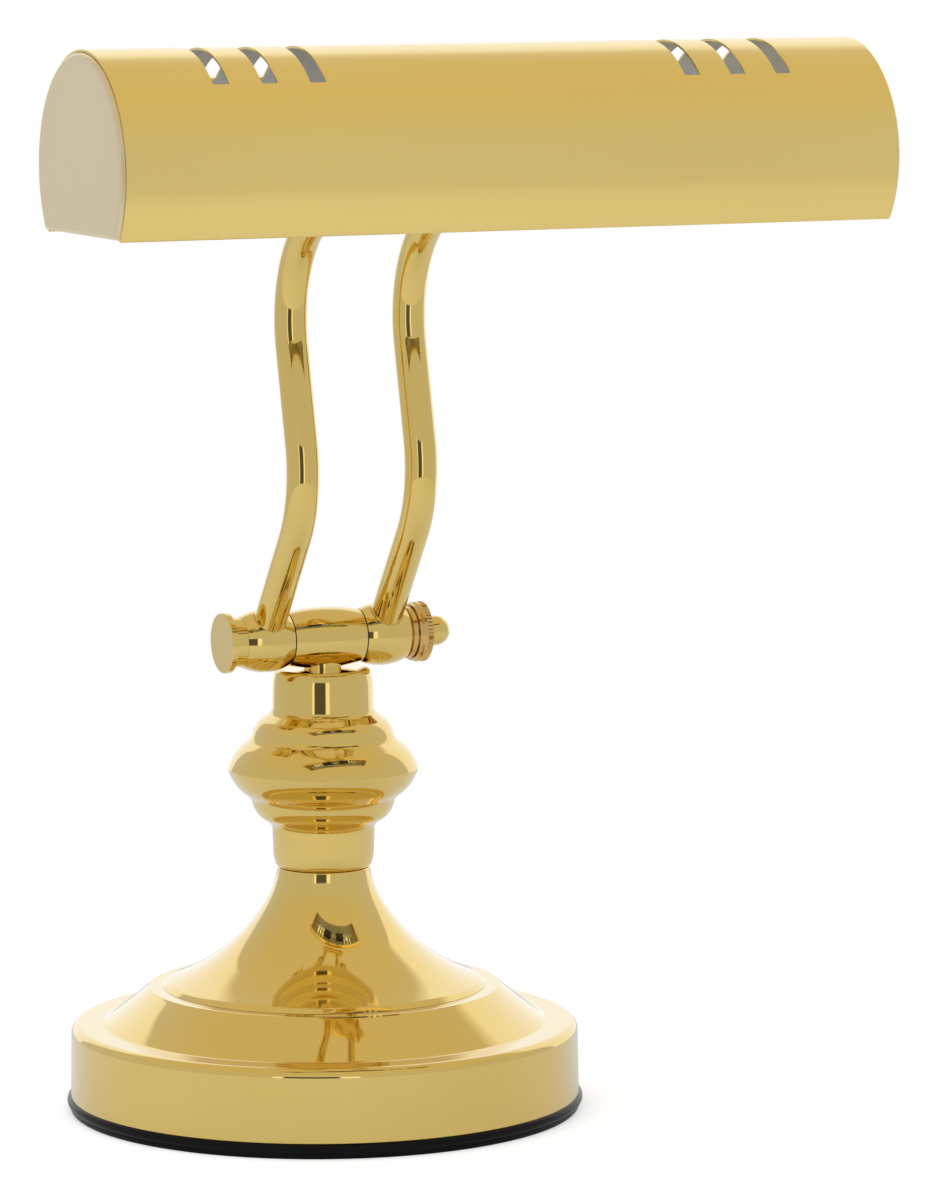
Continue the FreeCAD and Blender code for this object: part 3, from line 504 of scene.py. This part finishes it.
# Each finish has a bright and a deep colour, or a body colour and the colour where it's worn.
made_finishes = [
    polished_metal("polished_brass", (0.835, 0.612, 0.17, 1), (0.81, 0.587, 0.155, 1)),
    polished_metal("knurled_brass", (0.76, 0.52, 0.20, 1), (0.70, 0.46, 0.16, 1),
                   roughness=0.14, coat=0.4, smear=0.1),
    satin_metal("shade_brass", (0.94, 0.72, 0.235, 1), (0.92, 0.70, 0.225, 1), roughness=0.2),
    satin_metal("lid_brass", (0.86, 0.73, 0.47, 1), (0.84, 0.71, 0.45, 1),
                roughness=0.34, grain=0.1, coat=0.5, coat_roughness=0.3),
    polished_metal("nickel", (0.72, 0.70, 0.66, 1), (0.66, 0.64, 0.6, 1),
                   roughness=0.16, coat=0.0, smear=0.1),
    polished_metal("zinc_steel", (0.62, 0.62, 0.6, 1), (0.5, 0.5, 0.5, 1),
                   roughness=0.28, coat=0.0, smear=0.1),
    plain_stuff("black_rubber", (0.003, 0.003, 0.003, 1), (0.008, 0.008, 0.009, 1),
                roughness=0.1, grain_size=500.0, grain_height=0.01, dust=0.0, shine=0.12),
    plain_stuff("cast_iron", (0.05, 0.048, 0.045, 1), (0.12, 0.11, 0.1, 1),
                roughness=0.6, grain_size=500.0, grain_height=0.5, metallic=0.6),
    plain_stuff("black_steel", (0.02, 0.02, 0.021, 1), (0.07, 0.07, 0.07, 1),
                roughness=0.42, grain_size=900.0, grain_height=0.12),
    plain_stuff("black_plastic", (0.012, 0.012, 0.013, 1), (0.05, 0.05, 0.05, 1),
                roughness=0.33, grain_size=900.0, grain_height=0.06),
    plain_stuff("holder_plastic", (0.02, 0.02, 0.021, 1), (0.06, 0.06, 0.06, 1),
                roughness=0.38, grain_size=700.0, grain_height=0.1),
    plain_stuff("block_plastic", (0.74, 0.72, 0.66, 1), (0.6, 0.57, 0.5, 1),
                roughness=0.4, grain_size=900.0, grain_height=0.05),
    plain_stuff("fibre", (0.05, 0.032, 0.022, 1), (0.12, 0.08, 0.05, 1),
                roughness=0.7, grain_size=600.0, grain_height=0.3),
    plain_stuff("lead_sheath", (0.6, 0.58, 0.54, 1), (0.45, 0.43, 0.4, 1),
                roughness=0.45, grain_size=700.0, grain_height=0.06),
    polished_metal("filament_mount", (0.6, 0.58, 0.55, 1), (0.5, 0.48, 0.45, 1), roughness=0.2, coat=0.0),
    clear_glass("bulb_glass"),
]
FINISHES = {finish.name: finish for finish in made_finishes}
LINING = plain_stuff("shade_lining", (0.88, 0.88, 0.84, 1), (0.8, 0.8, 0.76, 1),
                     roughness=0.42, grain_size=600.0, grain_height=0.08)
BRASS = FINISHES["polished_brass"]

for node in nodes.values():
    cad_finish = node.data.materials[0].name.removesuffix("_cad")
    node.data.materials[0] = FINISHES[cad_finish]


# Places shared by the pieces, above the table under the column's axis

PIPE_HOLE = 5.05
LOWER_AXIS = Vector((0, 0, 153.55))
SHADE_CENTRE = Vector((0, -119.621, 311.997))
CUT_EDGE = 0.02          # a short upright run that squares the cut edge of a sheet


# Base

SHELL_WALL = 1.0
BASE_STEPS = 240
BAND_RADIUS = 82.5
BAND_FOOT = 5.05
BAND_HEIGHT = 20.4
BAND_FLARE = 0.3         # the band is this much wider at its foot
SHOULDER_RADIUS = 3.0
LOWER_STEP_WIDTH = 7.4
TIER_RUN = 14.3
TIER_RISE = 11.2
TIER_BOW = -0.3          # how far the tier's curve stands off its chord
LIP_RADIUS = 0.6
PAN_FLANGE_WIDTH = 6.0   # the pan's flat top under the bell's foot
BELL_RADIUS = 52.45
BELL_FOOT = 40.3
BELL_FOOT_RUN = 1.65
BELL_FOOT_RISE = 1.55
BELL_RUN = 22.4          # the lower, flatter part of the bell
BELL_RISE = 13.9
BELL_BOW = 1.4
THROAT_RUN = 10.5        # the bell's middle, steeper part
THROAT_RISE = 13.75
NECK_RADIUS = 15.0
NECK_TOP = 78.95
BASE_CREASE = 0.5        # how far from a corner the sheet's bend reaches


def base_pan():
    """The stamped pan, from the band's foot up over the tier to the flat top under the bell."""
    outline = Outline(BAND_RADIUS, BAND_FOOT)
    outline.line_by(-BAND_FLARE, BAND_HEIGHT)
    outline.curve_by(-SHOULDER_RADIUS, SHOULDER_RADIUS)
    outline.line_by(-LOWER_STEP_WIDTH, 0)
    outline.bow_by(-TIER_RUN, TIER_RISE, TIER_BOW)
    outline.curve_by(-LIP_RADIUS, LIP_RADIUS)
    outline.line(BELL_RADIUS - PAN_FLANGE_WIDTH, outline.here.y)
    return skin(rings_about_z(outline.softened(BASE_CREASE), BASE_STEPS))


def base_bell():
    """The bell, from its foot on the pan up to the column's seat."""
    outline = Outline(BELL_RADIUS, BELL_FOOT)
    outline.line_by(0, CUT_EDGE)
    outline.line_by(-BELL_FOOT_RUN, BELL_FOOT_RISE - CUT_EDGE)
    outline.bow_by(-BELL_RUN, BELL_RISE, -BELL_BOW)
    outline.curve_by(-THROAT_RUN, THROAT_RISE)
    outline.curve(NECK_RADIUS, NECK_TOP)
    outline.line(PIPE_HOLE, NECK_TOP)
    return skin(rings_about_z(outline.softened(BASE_CREASE), BASE_STEPS))


RING_HEIGHT = 5.0
RING_STAND_OUT = 1.1     # how far its upper bead stands out past the band
RING_WIDTH = 6.0
RING_LOWER_HEIGHT = 1.9  # height of the lower, narrower bead
RING_LOWER_INSET = 0.55  # how far the lower bead's foot lies inside the band
RING_LOWER_BULGE = 0.35
RING_GROOVE_STAND_OUT = 0.2
RING_LIP_WIDTH = 5.0     # inward lip, held between the bottom plate and the weight
RING_LIP_FOOT = 4.3
RING_LIP_TOP = 5.65
RING_COLLAR = 1.3        # from the band's outside to the lip's raised top
RING_CREASE = 0.25


def base_ring():
    """Rubber ring with two beads outside and a lip inside that the bottom plate holds."""
    inside = BAND_RADIUS - RING_WIDTH
    lip_edge = inside - RING_LIP_WIDTH
    outline = Outline(lip_edge, RING_LIP_FOOT)
    outline.line(inside, RING_LIP_FOOT)
    outline.line(inside, 0)
    outline.line(BAND_RADIUS - RING_LOWER_INSET, 0)
    outline.bow(BAND_RADIUS + RING_GROOVE_STAND_OUT, RING_LOWER_HEIGHT, RING_LOWER_BULGE)
    outline.bow(BAND_RADIUS, RING_HEIGHT, RING_STAND_OUT)
    outline.line(BAND_RADIUS - RING_COLLAR, RING_HEIGHT)
    outline.line(BAND_RADIUS - RING_COLLAR, RING_LIP_TOP)
    outline.line(lip_edge, RING_LIP_TOP)
    outline.line(lip_edge, RING_LIP_FOOT)
    return skin(rings_about_z(outline.softened(RING_CREASE), BASE_STEPS))


# Column. Each half, from its ridge to its rim, has a wide ring, a narrower ring and a neck, with a cove
# above each ring.

COLUMN_WALL = 0.9
COLUMN_STEPS = 160
COLUMN_CREASE = 0.35
RIDGE_TOP = 111.25
RIDGE_RADIUS = 31.0
HALF_HEIGHT = 32.3
WIDE_RING_WIDTH = 4.5
WIDE_RING_RISE = 7.4
WIDE_RING_BOW = 0.55
WIDE_EDGE_WIDTH = 1.9
WIDE_EDGE_RISE = 1.45
WIDE_COVE_WIDTH = 1.5
WIDE_COVE_RISE = 2.15
NARROW_RING_WIDTH = 2.6
NARROW_RING_RISE = 4.8
NARROW_RING_BOW = 0.4
NARROW_EDGE_WIDTH = 2.5
NARROW_EDGE_RISE = 1.7
NARROW_COVE_WIDTH = 1.4
NARROW_COVE_RISE = 2.1
NECK_TAPER = 0.2
MOUTH_TAPER = 0.7
MOUTH_RISE = 4.2
RIM_WIDTH = 1.8
RIM_RISE = 1.3


def column_half(up):
    """One spun half of the vase, from the ridge towards its rim. up is 1 or -1."""
    outline = Outline(RIDGE_RADIUS, 0)
    outline.line_by(0, CUT_EDGE)
    outline.bow_by(-WIDE_RING_WIDTH, WIDE_RING_RISE - CUT_EDGE, WIDE_RING_BOW)
    outline.line_by(-WIDE_EDGE_WIDTH, WIDE_EDGE_RISE)
    outline.curve_by(-WIDE_COVE_WIDTH, WIDE_COVE_RISE)
    outline.bow_by(-NARROW_RING_WIDTH, NARROW_RING_RISE, NARROW_RING_BOW)
    outline.line_by(-NARROW_EDGE_WIDTH, NARROW_EDGE_RISE)
    outline.curve_by(-NARROW_COVE_WIDTH, NARROW_COVE_RISE)
    outline.line(outline.here.x - NECK_TAPER, HALF_HEIGHT - RIM_RISE - MOUTH_RISE)
    outline.curve_by(-MOUTH_TAPER, MOUTH_RISE)
    outline.curve_by(-RIM_WIDTH, RIM_RISE)
    outline.line(PIPE_HOLE, HALF_HEIGHT)
    points = [Vector((p.x, RIDGE_TOP + up * p.y)) for p in outline.softened(COLUMN_CREASE)]
    return skin(rings_about_z(points if up > 0 else points[::-1], COLUMN_STEPS))


# Arms. A lean is measured in degrees from upright, towards the front.

ARM_OUT = 20.33          # from the lamp's middle to an arm's axis
ARM_RADIUS = 5.3
ARM_WALL = 1.0
ARM_STEPS = 72
ARM_BEND_STEP = 2        # degrees
ARM_END_GAP = 4.2        # from a swivel's axis to the tube's end
ARM_BEND_RADIUS = 37.0
ARM_FOOT_LEAN = 36.2
ARM_FOOT_LENGTH = 44.0
ARM_MIDDLE_LEAN = -13.4
ARM_MIDDLE_LENGTH = 31.0
ARM_HEAD_LEAN = 52.0
ARM_HEAD_LENGTH = 40.0


def leaning(angle):
    turn = math.radians(angle)
    return Vector((0, -math.sin(turn), math.cos(turn)))


def arm_tube(x):
    """A tube bent twice, from inside the lower knuckle to inside the upper one."""
    lean = ARM_FOOT_LEAN
    here = LOWER_AXIS + X_AXIS * x + leaning(lean) * ARM_END_GAP
    stations = [(here.copy(), lean)]

    def straight(length):
        nonlocal here
        here = here + leaning(lean) * length
        stations.append((here.copy(), lean))

    def bend(new_lean):
        nonlocal here, lean
        steps = max(2, round(abs(new_lean - lean) / ARM_BEND_STEP))
        step = (new_lean - lean) / steps
        chord = 2 * ARM_BEND_RADIUS * math.sin(math.radians(abs(step)) / 2)
        for _ in range(steps):
            here = here + leaning(lean + step / 2) * chord
            lean += step
            stations.append((here.copy(), lean))

    straight(ARM_FOOT_LENGTH - ARM_END_GAP)
    bend(ARM_MIDDLE_LEAN)
    straight(ARM_MIDDLE_LENGTH)
    bend(ARM_HEAD_LEAN)
    straight(ARM_HEAD_LENGTH - ARM_END_GAP)
    turns = [2 * math.pi * n / ARM_STEPS for n in range(ARM_STEPS)]
    rings = []
    for place, lean_here in stations:
        side = leaning(lean_here).cross(X_AXIS)
        rings.append([place + (X_AXIS * math.cos(a) + side * math.sin(a)) * ARM_RADIUS for a in turns])
    return skin(rings)


# Shade, drawn with its arch centred on the X axis

SHADE_RADIUS = 35.5
SHADE_DROP = 19.6        # from the arch's centre down to the open edge
SHADE_HALF_LENGTH = 127.0
SHEET_HALF_LENGTH = 125.6
SHEET_WALL = 0.78
SHEET_EDGE = 0.12
SHEET_RIBS = (-30.0, 0.0, 30.0)
HEM_ROLL = 0.8
HEM_FOLD = 4.2           # how far the folded edge runs back up inside
HEM_STEPS = 8
FOLD_STEPS = 4
SLOT_WIDTH = 5.1
SLOT_PITCH = 15.35
SLOT_FROM_END = 32.7
SLOT_HALF_SPAN = 24.6
SLOTS = 3
SLOT_ARC_STEPS = 22
SIDE_ARC_STEPS = 40
SLOT_STARTS = [SHADE_HALF_LENGTH - SLOT_FROM_END - SLOT_WIDTH - SLOT_PITCH * n for n in range(SLOTS)]


def on_arch(angle, radius):
    """A place on the arch, by its angle from the crown towards the front."""
    return Vector((-radius * math.sin(angle), radius * math.cos(angle)))


def shade_section():
    """Half of the sheet's outer line from the crown forwards and down, rolled under into the hem."""
    slot_angle = math.asin(SLOT_HALF_SPAN / SHADE_RADIUS)
    foot_angle = math.pi / 2 + math.asin(SHADE_DROP / SHADE_RADIUS)
    side_step = (foot_angle - slot_angle) / SIDE_ARC_STEPS
    angles = [slot_angle * n / SLOT_ARC_STEPS for n in range(SLOT_ARC_STEPS + 1)]
    angles += [slot_angle + side_step * n for n in range(1, SIDE_ARC_STEPS + 1)]
    outer = [on_arch(a, SHADE_RADIUS) for a in angles]
    foot = outer[-1]
    inward = -foot.normalized()
    down = Vector((inward.y, -inward.x))
    outer = [p for p in outer if (p - foot).length > HEM_ROLL]
    centre = foot + inward * HEM_ROLL - down * HEM_ROLL
    for n in range(HEM_STEPS + 1):
        turn = math.pi * n / HEM_STEPS
        outer.append(centre + (down * math.sin(turn) - inward * math.cos(turn)) * HEM_ROLL)
    fold_end = outer[-1]
    for n in range(1, FOLD_STEPS + 1):
        outer.append(fold_end - down * (HEM_FOLD * n / FOLD_STEPS))
    return outer


def shade_sheet():
    """The arched sheet with its six slots, as one skin that the wall's thickness is given to."""
    front = shade_section()
    back = [Vector((-p.x, p.y)) for p in front[:0:-1]]
    line = back + front
    slot_edges = {x for start in SLOT_STARTS for x in (start, start + SLOT_WIDTH)}
    ends = {-SHEET_HALF_LENGTH, SHEET_HALF_LENGTH}
    stations = sorted({*ends, *slot_edges, *[-x for x in slot_edges], *SHEET_RIBS})
    rings = [[Vector((x, p.x, p.y)) for p in line] for x in stations]
    vertices, faces = skin(rings, closed=False)

    def is_sheet(face):
        middle = sum((vertices[c] for c in face), Vector()) / len(face)
        in_slot = any(start < abs(middle.x) < start + SLOT_WIDTH for start in SLOT_STARTS)
        return not (in_slot and abs(middle.y) < SLOT_HALF_SPAN and middle.z > 0)

    return vertices, [face for face in faces if is_sheet(face)]


LID_INSET = 0.9          # the lid's skirt sits inside the sheet
LID_WALL = 0.8
LID_DEPTH = 7.0
LID_RIM = 1.4            # radius of the rounded rim
LID_RIM_STEPS = 8
LID_FACE_INSETS = (3.0, 8.0, 15.0)
LID_ARCH_STEPS = 48
LID_FOOT_STEPS = 12


def lid_loop(inset, x):
    """The lid's D-shaped outline, inset by so much, at one place along X."""
    radius = SHADE_RADIUS - LID_INSET - inset
    drop = SHADE_DROP - LID_INSET - inset
    foot_angle = math.pi / 2 + math.asin(drop / radius)
    shares = [n / LID_ARCH_STEPS * 2 - 1 for n in range(LID_ARCH_STEPS + 1)]
    arch = [on_arch(foot_angle * share, radius) for share in shares]
    foot = [arch[0].lerp(arch[-1], n / LID_FOOT_STEPS) for n in range(LID_FOOT_STEPS - 1, 0, -1)]
    return [Vector((x, p.x, p.y)) for p in arch + foot]


def end_lid():
    """The pressed lid of the +X end: skirt, rounded rim and flat face."""
    end = SHADE_HALF_LENGTH
    rings = [lid_loop(0, end - LID_DEPTH), lid_loop(0, end - LID_RIM)]
    for n in range(1, LID_RIM_STEPS + 1):
        turn = math.pi / 2 * n / LID_RIM_STEPS
        rings.append(lid_loop(LID_RIM * (1 - math.cos(turn)), end - LID_RIM + LID_RIM * math.sin(turn)))
    for inset in LID_FACE_INSETS:
        rings.append(lid_loop(inset, end))
    vertices, faces = skin(rings)
    count = len(rings[0])
    faces.append(list(range(len(vertices) - count, len(vertices))))
    return vertices, faces


make_piece("base_pan_fine", base_pan(), [BRASS], "base", "base_pan", wall=SHELL_WALL)
make_piece("base_bell_fine", base_bell(), [BRASS], "base", "base_bell", wall=SHELL_WALL)
make_piece("base_ring_fine", base_ring(), [FINISHES["black_rubber"]], "base", "base_ring")
for half, up in (("upper", 1), ("lower", -1)):
    make_piece(f"column_{half}_fine", column_half(up), [BRASS], "base", f"column_{half}_shell",
               wall=COLUMN_WALL)
for side, way in (("left", -1), ("right", 1)):
    make_piece(f"arm_{side}_fine", arm_tube(way * ARM_OUT), [BRASS], "arms", f"arm_{side}", wall=ARM_WALL)
make_piece("shade_sheet_fine", moved(shade_sheet(), SHADE_CENTRE), [FINISHES["shade_brass"], LINING],
           "shade", "shade_shell", wall=SHEET_WALL, bevel=SHEET_EDGE)
for side in ("left", "right"):
    lid = end_lid() if side == "right" else mirrored(end_lid())
    make_piece(f"end_lid_{side}_fine", moved(lid, SHADE_CENTRE), [FINISHES["lid_brass"]], "shade",
               f"end_lid_{side}", wall=LID_WALL)


# Camera, fitted to the photograph's outlines

CAMERA_PLACE = Vector((-0.74406, -1.75840, 0.40235))
CAMERA_TARGET = Vector((0.051921, 0, 0.162770))
CAMERA_ROLL = math.radians(-0.184)
CAMERA_AZIMUTH = math.radians(-24.355)
SENSOR_WIDTH = 36
FOCAL_LENGTH = 179.22

camera = bpy.data.objects.new("camera", bpy.data.cameras.new("camera"))
bpy.context.scene.collection.objects.link(camera)
bpy.context.scene.camera = camera
camera.data.sensor_width = SENSOR_WIDTH
camera.data.lens = FOCAL_LENGTH
looking = (CAMERA_TARGET - CAMERA_PLACE).to_track_quat("-Z", "Y").to_matrix()
rolled = looking @ Matrix.Rotation(CAMERA_ROLL, 3, "Z")
camera.matrix_world = Matrix.Translation(CAMERA_PLACE) @ rolled.to_4x4()


# Studio

def band():
    """A mask that is 1 where a value is near a centre."""
    effect, tree, given, made = new_effect(
        "band",
        [
            ("Value", "Float", 0.0),
            ("Centre", "Float", 0.0),
            ("Half Width", "Float", 1.0),
            ("Softness", "Float", 1.0),
        ],
        [("Mask", "Float")],
    )
    off = tree.math("ABSOLUTE", tree.math("SUBTRACT", given["Value"], given["Centre"]))
    inside = tree.math("DIVIDE", tree.math("SUBTRACT", given["Half Width"], off), given["Softness"])
    mask = tree.add("ShaderNodeClamp", {"Value": tree.math("ADD", inside, 0.5)})
    tree.tree.links.new(mask.outputs[0], made["Mask"])
    return effect


def grey(tone):
    return (tone, tone, tone, 1)


WHITE = grey(1.0)
MATT_LIGHT = grey(0.55)
PANEL_TONE = grey(0.64)
CEILING_TONE = (0.70, 0.62, 0.45, 1)
BACK_TONE = grey(1.05)
GAP_TONE = 0.105
STRIPE_TONE = 1.15

# Angles round the lamp and up from level, in degrees, as the camera sees the room
CEILING_FROM, CEILING_TO = 15, 60
FRONT = {"Centre": -7.5, "Half_Width": 134.5, "Softness": 2.0}
BACK_WALL = {"Centre": 0.0, "Half_Width": 41.0, "Softness": 6.0}
OPENING = {"Centre": -4.5, "Half_Width": 20.5, "Softness": 1.5}
OPENING_PARTS = ((-19.5, 2.5, STRIPE_TONE), (12.5, 4.5, STRIPE_TONE), (-4.5, 12.5, GAP_TONE))
OPENING_SOFTNESS = 1.2


def studio_world():
    """White to the camera, plain grey to matt surfaces, and pale panels with a gap to shiny ones."""
    world = bpy.data.worlds.new("studio")
    world.use_nodes = True
    bpy.context.scene.world = world
    tree = Tree(world.node_tree)
    strip = band()
    way = tree.add("ShaderNodeTexCoord").outputs["Generated"]
    turned = tree.add("ShaderNodeVectorRotate", {"Vector": way, "Axis": (0, 0, 1), "Angle": -CAMERA_AZIMUTH},
                      rotation_type="AXIS_ANGLE")
    split = tree.add("ShaderNodeSeparateXYZ", {0: turned.outputs[0]}).outputs
    away = tree.math("MULTIPLY", split["Y"], -1.0)
    around = tree.math("DEGREES", tree.math("ARCTAN2", split["X"], away))
    height = tree.math("DEGREES", tree.math("ARCSINE", split["Z"]))
    panel = tree.mix(tree.spread(height, CEILING_FROM, CEILING_TO), PANEL_TONE, CEILING_TONE)
    front = tree.group(strip, Value=around, **FRONT)["Mask"]
    low = tree.group(strip, Value=height, **BACK_WALL)["Mask"]
    behind = tree.math("MULTIPLY", tree.math("SUBTRACT", 1.0, front), low)
    room = tree.mix(behind, panel, BACK_TONE)
    opening = tree.group(strip, Value=height, **OPENING)["Mask"]
    for centre, half_width, tone in OPENING_PARTS:
        here = tree.group(strip, Value=around, Centre=centre, Half_Width=half_width,
                          Softness=OPENING_SOFTNESS)["Mask"]
        room = tree.mix(tree.math("MULTIPLY", here, opening), room, grey(tone))
    rays = tree.add("ShaderNodeLightPath").outputs
    mirror = tree.math("MAXIMUM", rays["Is Glossy Ray"], rays["Is Transmission Ray"])
    seen = tree.mix(mirror, MATT_LIGHT, room)
    seen = tree.mix(rays["Is Camera Ray"], seen, WHITE)
    background = tree.add("ShaderNodeBackground", {"Color": seen})
    tree.add("ShaderNodeOutputWorld", {"Surface": background.outputs[0]})


FLOOR_RADIUS = 0.9
FLOOR_STEPS = 96
FLOOR_PAPER = grey(0.8)
FLOOR_GLOW = 0.11
FLOOR_GLOW_SEEN = 0.41   # more of it where the camera looks at the floor itself


def studio_floor():
    """A round sheet of pale paper that keeps the lamp's shadow."""
    turns = [2 * math.pi * n / FLOOR_STEPS for n in range(FLOOR_STEPS)]
    edge = [(FLOOR_RADIUS * math.cos(a), FLOOR_RADIUS * math.sin(a), 0) for a in turns]
    mesh = bpy.data.meshes.new("floor")
    mesh.from_pydata(edge, [], [list(range(FLOOR_STEPS))])
    floor = bpy.data.objects.new("floor", mesh)
    bpy.context.scene.collection.objects.link(floor)
    material, tree = new_finish("floor_paper")
    mesh.materials.append(material)
    rays = tree.add("ShaderNodeLightPath").outputs
    glow = tree.math("MULTIPLY_ADD", rays["Is Camera Ray"], FLOOR_GLOW_SEEN, FLOOR_GLOW)
    paper = tree.add("ShaderNodeBsdfDiffuse", {"Color": FLOOR_PAPER})
    light = tree.add("ShaderNodeEmission", {"Strength": glow})
    finished(tree, tree.add("ShaderNodeAddShader", {0: paper.outputs[0], 1: light.outputs[0]}))


LAMP_MIDDLE = Vector((0, 0, 0.15))


def softbox(name, place, size, energy):
    """A large square light that is aimed at the lamp and doesn't show in the brass."""
    light = bpy.data.lights.new(name, "AREA")
    light.size = size
    light.energy = energy
    lamp = bpy.data.objects.new(name, light)
    bpy.context.scene.collection.objects.link(lamp)
    lamp.location = place
    lamp.rotation_mode = "QUATERNION"
    lamp.rotation_quaternion = (LAMP_MIDDLE - place).to_track_quat("-Z", "Y")
    lamp.visible_glossy = False


studio_world()
studio_floor()
softbox("overhead", Vector((-0.2, -0.3, 1.8)), size=1.6, energy=9.0)
softbox("left_side", Vector((-1.5, -0.9, 1.0)), size=1.0, energy=4.0)

bpy.context.scene.view_settings.view_transform = "Standard"
